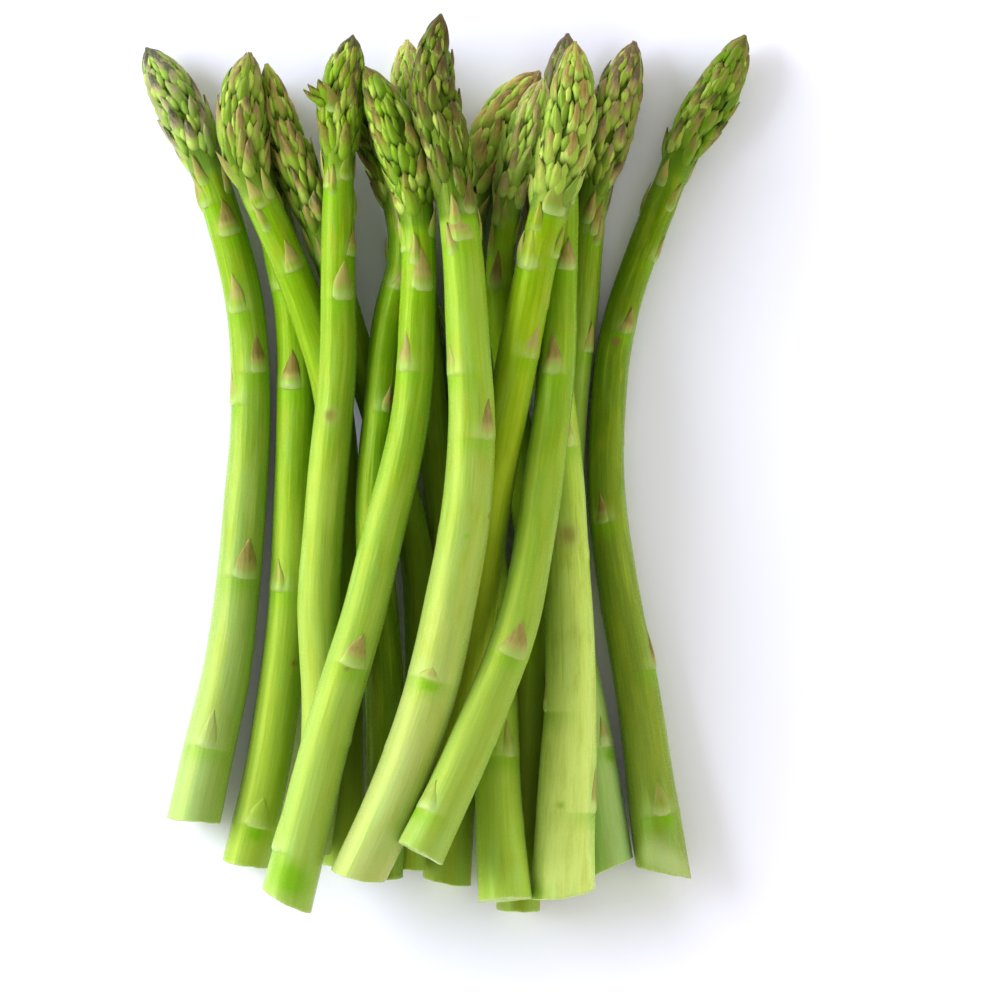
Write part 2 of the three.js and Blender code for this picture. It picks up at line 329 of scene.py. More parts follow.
class Surface:
    """Gathers grids of points into one mesh, with the values that the material reads: those in
    VALUES, and rest, each point's place in the straight spear."""

    def __init__(self):
        self.points = []
        self.faces = []
        self.rest = []
        self.values = {name: [] for name in VALUES}
        self.count = 0

    def add(self, spine, along, up, across, ends=(), **values):
        """Adds a grid that closes on itself column to column. ends caps its first and last row."""
        along, up, across = np.broadcast_arrays(along, up, across)
        index = self.count + np.arange(along.size).reshape(along.shape)
        wrapped = np.concatenate([index, index[:, :1]], axis=1)
        quads = (wrapped[:-1, :-1], wrapped[:-1, 1:], wrapped[1:, 1:], wrapped[1:, :-1])
        self.faces += np.stack(quads, axis=-1).reshape(-1, 4).tolist()
        if "first" in ends:
            self.faces.append(index[0, ::-1].tolist())
        if "last" in ends:
            self.faces.append(index[-1].tolist())
        self.points.append(spine.place(along, up, across).reshape(-1, 3))
        self.rest.append(np.stack([across, up, along], axis=-1).reshape(-1, 3))
        for name in VALUES:
            value = np.broadcast_to(values.get(name, 0.0), along.shape)
            self.values[name].append(value.ravel())
        self.count += along.size

    def mesh(self, name):
        mesh = bpy.data.meshes.new(name)
        mesh.from_pydata(np.concatenate(self.points).tolist(), [], self.faces)
        mesh.shade_smooth()
        rest = mesh.attributes.new("rest", "FLOAT_VECTOR", "POINT")
        rest.data.foreach_set("vector", np.concatenate(self.rest).astype(np.float32).ravel())
        for value in VALUES:
            attribute = mesh.attributes.new(value, "FLOAT", "POINT")
            numbers = np.concatenate(self.values[value]).astype(np.float32)
            attribute.data.foreach_set("value", numbers)
        return mesh


def around(angle, out, arc, curl):
    """Up and across of a point at a distance arc round a curved face of radius curl, whose
    highest line lies out from the spear's middle, in the direction angle."""
    turn = arc / curl
    high = out - curl * (1 - np.cos(turn))
    aside = curl * np.sin(turn)
    up = high * np.cos(angle) - aside * np.sin(angle)
    across = high * np.sin(angle) + aside * np.cos(angle)
    return up, across


def ripples(rng, along, angle, waves, length):
    """Slow unevenness between about -1 and 1 that closes on itself round the spear."""
    total = 0
    for count in waves:
        drift = math.tau * along / (length * rng.uniform(0.7, 1.4))
        total = total + np.sin(count * angle + drift + rng.uniform(0, math.tau))
    return total / len(waves)


def collar(past):
    """How far the stem has swollen, from 0 to 1, at past millimetres beyond the foot of a leaf."""
    return smoothstep(past, -COLLAR_LENGTH, -COLLAR_FULL)


# A leaf or scale is a dict of these values, in millimetres where they are lengths. A place up it
# goes from 0 at its foot to 1 at its point.
#   foot, angle    where its base is, along the spear and round it
#   length, width  its length and half its width
#   point, belly   how fast it narrows to its point, and how much wider it grows up it
#   dip            how much lower its base reaches at the middle than at the edges
#   step, sunk     how far its foot stands out as a step, and how deep it is sunk below that
#   bulge, flare   how far its middle and its point stand off the stem
#   tuck, ruffle   how deep its edges are tucked in, and how high they ripple
#   collar         how high the stem's collar lifts it
#   curl           the radius of its curve across, as a share of the stem's
#   thickness      how thick it is at its middle
#   twist, sway    how much its point leans aside, and how far it winds
#   rim, pale      how pale its edges and its foot are
#   pales          where up it the paleness of the foot has gone, and where it is full
#   deep  how much painted shade darkens its foot
#   dryness        how dry it is
#   dries          where up it the dryness starts, and where it is full
#   tone, phase    a chance tone for the material, and the start of its ripples
#   share          how far down the stem it is
#   grid           the rows and columns of its mesh
#
# Its rows crowd towards its foot by this exponent, its point is at least this wide to each side,
# and it curves across no tighter than this.
ROW_CROWDING = 1.4
POINT_WIDTH = 0.02
LEAF_CURL = 1.0


def leaf_lift(leaf, u, v):
    """How far a leaf's inner face stands off the stem."""
    hollow = 1 - u**2
    lift = leaf["step"] * (1 - v) ** 0.8 * smoothstep(v, 0, 0.07) * (0.4 + 0.6 * hollow)
    lift = lift + leaf["bulge"] * np.sin(math.pi * v**0.85) * hollow
    lift = lift + leaf["flare"] * v**2.2 - leaf["sunk"] * (1 - v) ** 2.5
    lift = lift + leaf["collar"] * collar(-leaf["length"] * v)
    lift = lift - leaf["tuck"] * u**4
    return lift + leaf["ruffle"] * u * np.sin(8 * v + leaf["phase"]) * smoothstep(v, 0.0, 0.4)


def add_leaf(surface, spine, leaf):
    """A pointed leaf that clasps the stem at its foot and points to the tip.

    v runs from 0 at its foot to 1 at its point, and u from -1 to 1 across it. Its outer face is
    drawn from u = -1 to 1 and its inner face back again, so that it has a real thickness.
    """
    rows, columns = leaf["grid"]
    v = (np.linspace(1, 0, rows) ** ROW_CROWDING)[:, None]
    u = np.linspace(-1, 1, columns)
    u = np.concatenate([u, u[::-1]])[None, :]
    outer = np.concatenate([np.ones(columns), np.zeros(columns)])[None, :]
    width = leaf["width"] * (1 - v) ** leaf["point"] * (1 + leaf["belly"] * v) + POINT_WIDTH
    along = leaf["foot"] - leaf["length"] * v + leaf["dip"] * (1 - u**2) * (1 - v) ** 2
    skin = leaf["thickness"] * outer * (0.3 + 0.7 * np.sqrt(1 - u**2))
    radius = spine.radius(along)
    curl = np.maximum(radius * leaf["curl"], LEAF_CURL)
    sway = leaf["sway"] * np.sin(5 * v + leaf["phase"]) * smoothstep(v, 0.0, 0.5)
    arc = u * width + leaf["twist"] * leaf["length"] * v + sway
    up, across = around(leaf["angle"], radius + leaf_lift(leaf, u, v) + skin, arc, curl)
    edge = smoothstep(np.abs(u), 0.6, 1.0) * smoothstep(v, 0.1, 0.3)
    surface.add(
        spine, along, up, across, ends=("first", "last"),
        dry=leaf["dryness"] * smoothstep(v, *leaf["dries"]),
        pale=np.maximum(edge * leaf["rim"], leaf["pale"] * smoothstep(v, *leaf["pales"])),
        # Painted shade at the leaf's foot.
        deep=leaf["deep"] * smoothstep(v, 0.3, 0.0),
        tone=leaf["tone"], foot=leaf["share"],
    )


# A bud is a dict with foot, angle, length, width, tone and grid as a leaf has, and these.
#   aside          how far it lies to one side of its angle
#   height, depth  half its thickness, and how deep its middle lies below the spear's outline
#   flare          how far its point stands out
#   turn           where its lumps start
#   dryness        how dry its point is
#
# It curves across no tighter than this.
BUD_CURL = 1.3


def add_bud(surface, spine, bud):
    """A plump bud that lies against the stem with its point towards the tip."""
    rows, columns = bud["grid"]
    t = np.linspace(0, 1, rows)[:, None]
    angle = np.linspace(0, math.tau, columns, endpoint=False)[None, :]
    fullness = np.sin(math.pi * (0.02 + 0.96 * t) ** 0.8) ** (1.15 - 0.45 * t)
    lumps = 1 + 0.12 * np.sin(2 * angle + 9 * t + bud["turn"])
    lumps = lumps + 0.1 * np.sin(3 * angle - 13 * t + 2 * bud["turn"])
    arc = bud["width"] * fullness * lumps * np.cos(angle) - bud["aside"]
    along = bud["foot"] - bud["length"] * (1 - t)
    outline = spine.radius(along)
    height = bud["height"] * fullness * lumps * np.sin(angle)
    out = outline - bud["depth"] + bud["flare"] * (1 - t) ** 2 + height
    up, across = around(bud["angle"], out, -arc, np.maximum(outline, BUD_CURL))
    surface.add(
        spine, along, up, across, ends=("first", "last"), bud=1.0, tone=bud["tone"],
        # Painted shade darkens the bud towards its foot, under its scale.
        dry=bud["dryness"] * smoothstep(t, 0.45, 0.0), deep=smoothstep(t, 0.55, 1.0),
    )


# A leaf this dry stands fully loose from the stem, and a fresh one's edges are sunk this deep.
DRIED_LOOSE = 0.8
FRESH_TUCK = 0.3
# A leaf looks no wider from above than this share of the stem's width.
WIDEST_LEAF = 0.97
# The stem's leaves begin this far below the head and end this far above the cut. Where those that
# show leave a longer bare stretch than this, a leaf this dry is added round the back, and its tip
# stands out this far.
TOP_GAP = 3.0
END_GAP = 6.0
LONGEST_BARE = 20.0
BACK_DRYNESS = 0.7
BACK_FLARE = 0.15


def looseness(dryness):
    return min(1.0, dryness / DRIED_LOOSE)


def stem_leaf(along, angle, length, width, dryness, flare, share, rng):
    """A leaf of the stem: thick at its foot, where it stands out like a step, and thin above.

    A fresh leaf's edges are tucked into the stem, and a dried leaf stands off it and ripples.
    """
    loose = looseness(dryness)
    return {
        "foot": along, "angle": angle, "length": length, "width": width / 2, "share": share,
        "point": 1.05, "belly": 0.5, "dip": 0.06 * length, "step": 0.3, "sunk": 0.22,
        "bulge": rng.uniform(0.05, 0.25) * (0.3 + 0.7 * loose), "flare": flare,
        "tuck": FRESH_TUCK * (1 - loose), "collar": COLLAR_HEIGHT, "ruffle": 0.1 * loose**2,
        "thickness": 0.09, "curl": 1.0, "twist": rng.normal(0, 0.06), "sway": 0.22, "rim": 0.1,
        "pale": rng.uniform(0.4, 0.75), "pales": (rng.uniform(0.28, 0.48), 0.02), "deep": 0.0,
        "dryness": dryness, "dries": (rng.uniform(-0.05, 0.15), 0.5), "tone": rng.random(),
        "phase": rng.uniform(0, 6), "grid": (19, 15),
    }


def stem_leaves(spine, look, rng):
    """The scale leaves of the stem: those that show from above, and others round the back."""
    shown = []
    for x, y, length, width, dryness, *flare in look["leaves"]:
        along, angle = spine.nearest(x, y)
        radius = spine.radius(along)
        arc = 2 * radius * math.asin(min(width / (2 * radius), WIDEST_LEAF))
        flare = flare[0] if flare else rng.uniform(0.02, 0.15) * looseness(dryness)
        shown.append((along, angle, length, arc, dryness, flare))
    feet = sorted(leaf[0] for leaf in shown)
    bounds = [spine.head_length + TOP_GAP, *feet, spine.length - END_GAP]
    hidden = []
    for start, end in zip(bounds, bounds[1:]):
        if end - start > LONGEST_BARE:
            along = start + (end - start) * rng.uniform(0.4, 0.6)
            angle = math.pi + rng.uniform(-1.1, 1.1)
            length, width = rng.uniform(7, 9), rng.uniform(4.5, 6)
            hidden.append((along, angle, length, width, BACK_DRYNESS, BACK_FLARE))
    return [stem_leaf(*shape, spine.down_stem(shape[0]), rng) for shape in shown + hidden]


# The cut face from its rim to its middle: how far out as a share of the radius, and how far it
# stands beyond the cut. Then how rough the flesh is, and how much of its colour the rim shows.
CUT_FACE = (
    (1.0, 0.0), (0.985, 0.16), (0.95, 0.26), (0.88, 0.22), (0.76, 0.12), (0.6, 0.06),
    (0.42, 0.02), (0.22, 0.0), (0.04, 0.0),
)
CUT_ROUGHNESS = 0.05
CUT_RIM = 0.4


def add_cut_end(surface, spine, ragged, up, across, rng):
    """The cut face: the skin turns in at a narrow bevel, then the flesh dips a little."""
    inward, beyond = np.array(CUT_FACE).T[..., None]
    uneven = rng.normal(0, CUT_ROUGHNESS, (len(inward), up.shape[1])) * (inward < 0.9)
    surface.add(
        spine, spine.length + ragged + beyond + uneven, up * inward, across * inward,
        ends=("last",), foot=1.0, cut=CUT_RIM + (1 - CUT_RIM) * smoothstep(1 - inward, 0.0, 0.06),
    )


# The stem's rings: the even step, the finer step near a leaf or a mark and how far to each side
# of one it goes, the first ring, how far above the cut the even ones end, the stretch and number
# of the cut's own rings, and the smallest gap that is kept.
STEM_STEP = 1.7
FINE_STEP = 0.55
FINE_REACH = 2.3
FIRST_RING = 0.8
EVEN_END = 1.0
CUT_STRETCH = 1.2
CUT_RINGS = 4
LEAST_GAP = 0.2
STEM_CORNERS = 36
# Ribs that run along the stem, slow swellings of it, and the raggedness of its cut rim.
RIB_HEIGHT = 0.1
SWELL_HEIGHT = 0.2
RAGGED_HEIGHT = 0.22
# How far above the cut the raggedness and the rim's change of colour begin.
RAGGED_REACH = 2.0
RIM_REACH = 0.8
# In the head the stem is this much thinner, to leave room for the buds and scales, and this much
# darkened by painted shade, for the hollows between them. Both fade out between these shares of
# the head's length.
HEAD_CORE = 0.14
HEAD_SHADE = 0.6
HEAD_FADE = (0.7, 1.02)
# At a leaf's foot: how far round the stem its effects reach, as an angle, how lush green the stem
# is below it and where that fades out, and how pale it is above it, how far up and how widely.
FOOT_REACH = 1.05
FOOT_LUSH = 0.6
LUSH_FADE = (1.2, 6.5)
FOOT_PALE = 0.5
PALE_PLACE = 1.2
PALE_REACH = 2.2
# How strongly a mark colours the stem, how deep a scar is, and of a knot how high its rim is, how
# deep its middle, how far out the rim goes as a share of its radius, how much of a scar its
# middle and its rim are, and how pale the rim is.
MARK_STRENGTH = 0.8
SCAR_DEPTH = 0.12
KNOT_RIM = 0.3
KNOT_DEPTH = 0.15
KNOT_REACH = 1.5
KNOT_SCAR = (0.7, 0.4)
KNOT_PALE = 0.5


def marks_of(spine, look, kind):
    return [(*spine.nearest(x, y), radius) for x, y, radius in look.get(kind, [])]


def spot(spine, along, angle, mark):
    """1 at the middle of a mark on the stem, and falling to 0 outside it."""
    at, turn, radius = mark
    aside = signed(angle - turn) * spine.radius(at)
    return np.exp(-(((along - at) / radius) ** 2 + (aside / radius) ** 2) ** 1.5)


def spots(spine, along, angle, marks):
    return sum((spot(spine, along, angle, mark) for mark in marks), 0.0)


def stem_rings(spine, places):
    """Where the stem's rings go: at even steps, with more of them near leaves and marks."""
    rings = [np.arange(FIRST_RING, spine.length - EVEN_END, STEM_STEP)]
    for place in places:
        rings.append(np.arange(place - FINE_REACH, place + FINE_REACH, FINE_STEP))
    rings.append(np.linspace(spine.length - CUT_STRETCH, spine.length, CUT_RINGS))
    rings = np.sort(np.concatenate(rings))
    rings = rings[(rings >= FIRST_RING) & (rings <= spine.length)]
    keep = np.concatenate([[True], np.diff(rings) > LEAST_GAP])
    keep[-1] = True
    return rings[keep][:, None]


def shaped_by_leaves(radius, along, angle, leaves):
    """The stem's radius with a collar above the foot of each leaf, how lush green it is below
    the foot, and how pale above it."""
    lush, pale = 0.0, 0.0
    for leaf in leaves:
        past = along - leaf["foot"]
        near = np.exp(-((signed(angle - leaf["angle"]) / FOOT_REACH) ** 2))
        above = 1 - smoothstep(past, *COLLAR_END)
        sides = COLLAR_BACK + (1 - COLLAR_BACK) * near
        radius = radius + COLLAR_HEIGHT * collar(past) * above * sides
        lush = lush + FOOT_LUSH * near * (1 - above) * (1 - smoothstep(past, *LUSH_FADE))
        band = np.exp(-(((past + PALE_PLACE) / PALE_REACH) ** 2))
        pale = pale + FOOT_PALE * near**3 * above * band
    return radius, lush, pale


def add_stem(surface, spine, look, leaves, rng):
    marks = {kind: marks_of(spine, look, kind) for kind in MARKS}
    places = [leaf["foot"] for leaf in leaves]
    places += [at for kind in MARKS for at, _, _ in marks[kind]]
    along = stem_rings(spine, places)
    angle = np.linspace(0, math.tau, STEM_CORNERS, endpoint=False)[None, :]
    head = 1 - smoothstep(along, *(share * spine.head_length for share in HEAD_FADE))
    uneven = RIB_HEIGHT * ripples(rng, along, angle, waves=(7, 9, 12, 15), length=190)
    uneven = uneven + SWELL_HEIGHT * ripples(rng, along, angle, waves=(0, 1, 2, 3), length=45)
    radius = spine.radius(along) * (1 - HEAD_CORE * head) + uneven * (1 - head)
    radius, lush, pale = shaped_by_leaves(radius, along, angle, leaves)
    scar = spots(spine, along, angle, marks["scars"])
    lush = lush + MARK_STRENGTH * spots(spine, along, angle, marks["greens"])
    pale = pale + MARK_STRENGTH * spots(spine, along, angle, marks["pales"])
    for at, turn, size in marks["knots"]:
        middle = spot(spine, along, angle, (at, turn, size))
        rim = spot(spine, along, angle, (at, turn, KNOT_REACH * size)) - middle
        radius = radius + KNOT_RIM * rim - KNOT_DEPTH * middle
        scar = scar + KNOT_SCAR[0] * middle + KNOT_SCAR[1] * rim
        pale = pale + KNOT_PALE * rim
    radius = radius - SCAR_DEPTH * scar
    ragged = RAGGED_HEIGHT * ripples(rng, 0 * along, angle, waves=(2, 3, 5, 8), length=1)
    ragged = ragged * smoothstep(along, spine.length - RAGGED_REACH, spine.length)
    up = radius * np.cos(angle)
    across = radius * np.sin(angle)
    surface.add(
        spine, along + ragged, up, across, ends=("first",), foot=spine.down_stem(along),
        # Painted shade darkens the stem's core inside the head, in the hollows between its scales.
        deep=HEAD_SHADE * head, lush=np.clip(lush, 0, 1), pale=np.clip(pale, 0, 1), scar=scar,
        cut=CUT_RIM * smoothstep(along, spine.length - RIM_REACH, spine.length),
    )
    add_cut_end(surface, spine, ragged[-1:], up[-1:], across[-1:], rng)


# Scales in a head: their number, how they crowd towards the tip, where the first is, how far past
# the head's foot the last is, and the share of the head nearest the tip that has no buds.
HEAD_SCALES = 50
HEAD_CROWDING = 1.15
FIRST_SCALE = 2.6
PAST_HEAD = 1.5
BUDLESS = 0.12
# A scale reaches at most this far past the spear's tip.
PAST_TIP = 0.4
# The scales' widths are for a head with this radius halfway along it.
USUAL_RADIUS = 5.3
# Measures of the head's scales and buds: what the smallest has, at the tip, and what the largest
# has more, at the head's foot. A width is to each side.
SCALE_LENGTH = (6.4, 4.4)
SCALE_WIDTH = (0.98, 1.05)
SCALE_SUNK = (0.75, 0.35)
SCALE_BULGE = (0.35, 0.45)
SCALE_FLARE = (0.06, 0.8)
BUD_HEIGHT = (0.5, 0.6)
BUD_DEPTH = (0.55, 0.35)
SIDE_BUD_HEIGHT = (0.5, 0.5)
SIDE_BUD_DEPTH = (0.2, 0.25)
# How scales differ by chance: in place, angle, length, width, flare and dryness, and the share of
# them that stands out.
PLACE_SPREAD = 0.35
ANGLE_SPREAD = 0.13
LENGTH_RANGE = (0.78, 1.15)
WIDTH_RANGE = (0.78, 1.25)
FLARE_RANGE = (0.1, 1.6)
DRY_SPREAD = 0.95
STANDING_OUT = 0.22
# The shares of the head between which the scales grow loose, and the tip's own dryness fades out.
LOOSENING = (0.3, 0.95)
TIP_FADE = (0.02, 0.3)
# Below the head a few more scales follow, further and further apart: their number, the first
# gap, how much longer each next one is, and the place on the stem that they are coloured for.
LOOSE_SCALES = 5
LOOSE_GAP = 1.3
LOOSE_GROWTH = 0.5
STEM_TOP = 0.03


def grown(measure, size):
    """A measure of a scale whose size goes from 0 at the tip to 1 at the head's foot."""
    smallest, more = measure
    return smallest + more * size


def head_scale(look, share, size, loose, tone, rng):
    """A scale of the head, apart from its place, length and width."""
    flare = grown(SCALE_FLARE, loose) * rng.uniform(*FLARE_RANGE)
    flare = flare + size * (rng.random() < STANDING_OUT)
    near_tip = 1 - smoothstep(share, *TIP_FADE)
    dryness = look["dried"] + DRY_SPREAD * (tone - 0.5) + look["tip"] * near_tip
    return {
        "point": 0.75, "belly": 0.8, "dip": 0.4, "step": 0.0, "sunk": grown(SCALE_SUNK, size),
        "bulge": grown(SCALE_BULGE, size), "flare": flare, "thickness": 0.17, "curl": 0.72,
        "twist": rng.normal(0, 0.13) * size, "sway": 0.35 * size, "ruffle": 0.25 * size,
        # Painted shade darkens the foot of each scale, under the scales that overlap it.
        "tuck": 0.0, "collar": 0.0, "deep": 0.8, "phase": rng.uniform(0, 6), "rim": 0.3,
        "pale": 0.25 * tone, "pales": (0.5, 0.05), "dryness": np.clip(dryness, 0, 1),
        "dries": (0.3 * size * rng.random(), 0.4 + 0.5 * size), "tone": tone, "share": 0.0,
        "grid": (10, 8),
    }


def add_head_buds(surface, spine, look, scale, size, loose, rng):
    """The bud under one scale of the head, and two side buds that bulge from beside it."""
    foot, length, width = scale["foot"], scale["length"], scale["width"]
    dryness = 0.6 * look["dried"] * (1 - 0.6 * loose)
    add_bud(surface, spine, {
        "foot": foot - 0.08 * length, "angle": scale["angle"],
        "length": min(0.86 * length, foot - 1.8), "width": width, "aside": 0.0,
        "height": grown(BUD_HEIGHT, size), "depth": grown(BUD_DEPTH, size),
        "flare": 0.3 * loose, "turn": rng.uniform(0, 6), "dryness": dryness,
        "tone": rng.random(), "grid": (8, 8),
    })
    for side in (-1, 1):
        bud_foot = foot - rng.uniform(0.15, 0.45) * min(length, 0.9 * foot)
        add_bud(surface, spine, {
            "foot": bud_foot, "angle": scale["angle"],
            "length": min(rng.uniform(0.55, 0.8) * length, bud_foot - 1.5),
            "aside": side * width * rng.uniform(0.65, 1.0), "width": rng.uniform(0.42, 0.6) * width,
            "height": grown(SIDE_BUD_HEIGHT, size), "depth": grown(SIDE_BUD_DEPTH, size),
            "turn": rng.uniform(0, 6), "flare": 0.4 * loose * rng.uniform(0.2, 1.5),
            "dryness": dryness * rng.uniform(0.4, 2.2), "tone": rng.random(), "grid": (9, 8),
        })


def add_loose_scales(surface, spine, look, angle, girth, rng):
    """The scales just below the head, which look like small leaves of the stem."""
    foot = spine.head_length
    for i in range(LOOSE_SCALES):
        foot += LOOSE_GAP + LOOSE_GROWTH * i
        angle += GOLDEN_ANGLE + rng.normal(0, 0.2)
        scale = stem_leaf(
            foot + 3, angle, rng.uniform(7.5, 9), rng.uniform(3.2, 4.2) * girth,
            rng.uniform(0.5, 1) * look["dried"], rng.uniform(0.1, 0.5), STEM_TOP, rng,
        )
        scale.update(grid=(12, 9), bulge=0.55, sunk=0.4, tuck=0.0, collar=0.0)
        add_leaf(surface, spine, scale)


def add_head(surface, spine, look, rng):
    """Scales and buds in a spiral. Towards the tip they are small and wrap close to a point, and
    towards the foot they are large and loose."""
    angle = rng.uniform(0, math.tau)
    girth = spine.radius(0.5 * spine.head_length) / USUAL_RADIUS
    reach = spine.head_length + PAST_HEAD - FIRST_SCALE
    for i in range(HEAD_SCALES):
        share = (i / (HEAD_SCALES - 1)) ** HEAD_CROWDING
        size = share**0.5
        loose = smoothstep(share, *LOOSENING)
        foot = FIRST_SCALE + reach * share + rng.normal(0, PLACE_SPREAD) * size
        length = min(grown(SCALE_LENGTH, size) * rng.uniform(*LENGTH_RANGE), foot + PAST_TIP)
        width = grown(SCALE_WIDTH, size) * girth * rng.uniform(*WIDTH_RANGE)
        angle += GOLDEN_ANGLE + rng.normal(0, ANGLE_SPREAD)
        tone = rng.random()
        scale = {"foot": foot, "angle": angle, "length": length, "width": width}
        if share > BUDLESS:
            add_head_buds(surface, spine, look, scale, size, loose, rng)
        scale.update(head_scale(look, share, size, loose, tone, rng))
        add_leaf(surface, spine, scale)
    add_loose_scales(surface, spine, look, angle, girth, rng)


# The buds and scales of a side bud that stands open: how far round from its middle each is, its
# length, and how far its tip stands out.
TUFT_BUDS = ((-0.3, 6.6, 5.2), (0.0, 5.4, 5.7), (0.2, 4.2, 5.6), (0.0, 3.2, 5.0))
TUFT_SCALES = ((-0.5, 6.4, 4.6), (0.35, 5.0, 5.0))


def add_tuft(surface, spine, place, rng):
    """A side bud that stands out from the head, with a few scales round it."""
    along, angle = spine.nearest(*place)
    for turn, length, out in TUFT_BUDS:
        add_bud(surface, spine, {
            "foot": along + 0.5, "angle": angle + turn, "length": length, "aside": 0.0,
            "width": 2.0, "height": 1.6, "depth": 0.3, "flare": out, "turn": 4 * turn,
            "dryness": 1.0, "tone": 0.5 + turn, "grid": (12, 10),
        })
    for turn, length, out in TUFT_SCALES:
        scale = stem_leaf(
            along + 0.8, angle + turn, length, width=4.4, dryness=0.5, flare=out, share=0.0,
            rng=rng,
        )
        scale.update(point=0.5, belly=0.6, collar=0.0, bulge=0.6, tuck=0.0, grid=(12, 9))
        add_leaf(surface, spine, scale)


def srgb(code):
    """A colour written as six hex digits, as the linear values that shaders use."""
    parts = [int(code[i:i + 2], 16) / 255 for i in (0, 2, 4)]
    linear = [p / 12.92 if p <= 0.04045 else ((p + 0.055) / 1.055) ** 2.4 for p in parts]
    return (*linear, 1.0)


def blended(a, b, share):
    return tuple(x + (y - x) * share for x, y in zip(a, b))


LIGHT_STREAK = srgb("a8c82c")
DEEP_STREAK = srgb("588408")
OLIVE = srgb("98a024")
YELLOW_GREEN = srgb("b0c03c")
MINT_GREEN = srgb("96c874")
# The dark green of painted shade, in the head's hollows and at the feet of its scales and buds.
PAINTED_SHADE_GREEN = srgb("2c4806")
BRIGHT_SCALE = srgb("c4d468")
DULL_SCALE = srgb("56781c")
LUSH_GREEN = srgb("74a80c")
SCAR_BROWN = srgb("8a6440")
LEAF_TAN = srgb("a69a5c")
LEAF_BROWN = srgb("7c6638")
CREAM = srgb("bccc88")
FLESH = srgb("bccc80")
FLESH_DARK = srgb("98b25c")

# Patterns in the skin. A stretch is across, up and along the spear, where a small value draws
# the pattern out.
STREAKS = {"stretch": (1.0, 1.0, 0.04), "scale": 1.3, "detail": 4.0, "roughness": 0.6}
CLOUDS = {"stretch": (0.14, 0.14, 0.05), "detail": 2.0}
TINTS = {"stretch": (0.2, 0.2, 0.03)}
BLOTCHES = {"stretch": (0.3, 0.3, 0.09)}
VEINS = {"stretch": (1.6, 1.6, 0.35), "roughness": 0.6}
FIBRES = {"stretch": (2.2, 2.2, 0.3), "detail": 2.0}
GRAIN = {"scale": 3.0, "detail": 4.0, "roughness": 0.65}

# Where along a pattern or tone a tint begins and is full, and how strong it is.
YELLOWING = (0.5, 0.66, 0.55)
MINTING = (0.5, 0.34, 0.55)
BLOTCHING = (0.48, 0.68, 0.45)
LIGHTENING = (0.5, 0.75, 0.42)
DEEPENING = (0.5, 0.25, 0.32)
BRIGHTENING = (0.6, 1.0, 0.6)
DULLING = (0.4, 0.0, 0.65)
TANNING = (0.1, 0.55, 0.85)
BROWNING = (0.5, 1.1, 0.9)
EVERYWHERE = 1.0

# How much of its own colour each of these shows.
FRESH_COVER = 0.85
LUSH_COVER = 0.8
PALE_COVER = 0.75
SCAR_COVER = 0.8
# How much the painted shade in the head's hollows and under its scales and buds darkens them.
PAINTED_SHADE_COVER = 0.93

# The skin's gloss, and how light goes into it.
FINISH = {
    "Subsurface Weight": 0.1,
    "Subsurface Radius": (0.8, 1.0, 0.3),
    "Subsurface Scale": 0.001,
    "Specular Tint": (0.95, 1.0, 0.15, 1.0),
    "Specular IOR Level": 0.36,
    "Sheen Weight": 0.05,
    "Sheen Roughness": 0.35,
    "Sheen Tint": (0.85, 1.0, 0.9, 1.0),
}
# The strength and the depth in metres of the fine ribs and of the pores.
RIB_BUMP = (0.35, 0.0004)
PORE_BUMP = (0.2, 0.0002)


class Shader:
    """A material whose nodes are added one by one."""

    def __init__(self, name):
        self.material = bpy.data.materials.new(name)
        self.material.use_nodes = True
        self.nodes = self.material.node_tree.nodes
        self.links = self.material.node_tree.links
        self.sockets = self.nodes["Principled BSDF"].inputs

    def set(self, socket, value):
        if isinstance(value, bpy.types.NodeSocket):
            self.links.new(value, socket)
        else:
            socket.default_value = value

    def add(self, kind, inputs):
        """A new node with these values or links in its inputs."""
        node = self.nodes.new("ShaderNode" + kind)
        for name, value in inputs.items():
            self.set(node.inputs[name], value)
        return node

    def attribute(self, name, output="Fac"):
        node = self.add("Attribute", {})
        node.attribute_name = name
        return node.outputs[output]

    def math(self, operation, a, b):
        node = self.add("Math", {0: a, 1: b})
        node.operation = operation
        return node.outputs[0]

    def plus(self, a, b):
        return self.math("ADD", a, b)

    def times(self, a, b):
        return self.math("MULTIPLY", a, b)

    def noise(self, vector, stretch=None, scale=1.0, detail=3.0, roughness=0.55):
        if stretch:
            vector = self.add("Mapping", {"Vector": vector, "Scale": stretch}).outputs[0]
        inputs = {"Vector": vector, "Scale": scale, "Detail": detail, "Roughness": roughness}
        return self.add("TexNoise", inputs).outputs["Fac"]

    def remap(self, value, low, high, to_low=0.0, to_high=1.0):
        inputs = {"Value": value, "From Min": low, "From Max": high}
        node = self.add("MapRange", {**inputs, "To Min": to_low, "To Max": to_high})
        node.interpolation_type = "SMOOTHSTEP"
        return node.outputs["Result"]

    def mix(self, share, a, b):
        node = self.add("Mix", {})
        node.data_type = "RGBA"
        self.set(node.inputs["Factor"], share)
        self.set(node.inputs[6], a)
        self.set(node.inputs[7], b)
        return node.outputs[2]

    def bump(self, height, strength, distance, normal=None):
        inputs = {"Height": height, "Strength": strength, "Distance": distance}
        if normal is not None:
            inputs["Normal"] = normal
        return self.add("Bump", inputs).outputs["Normal"]


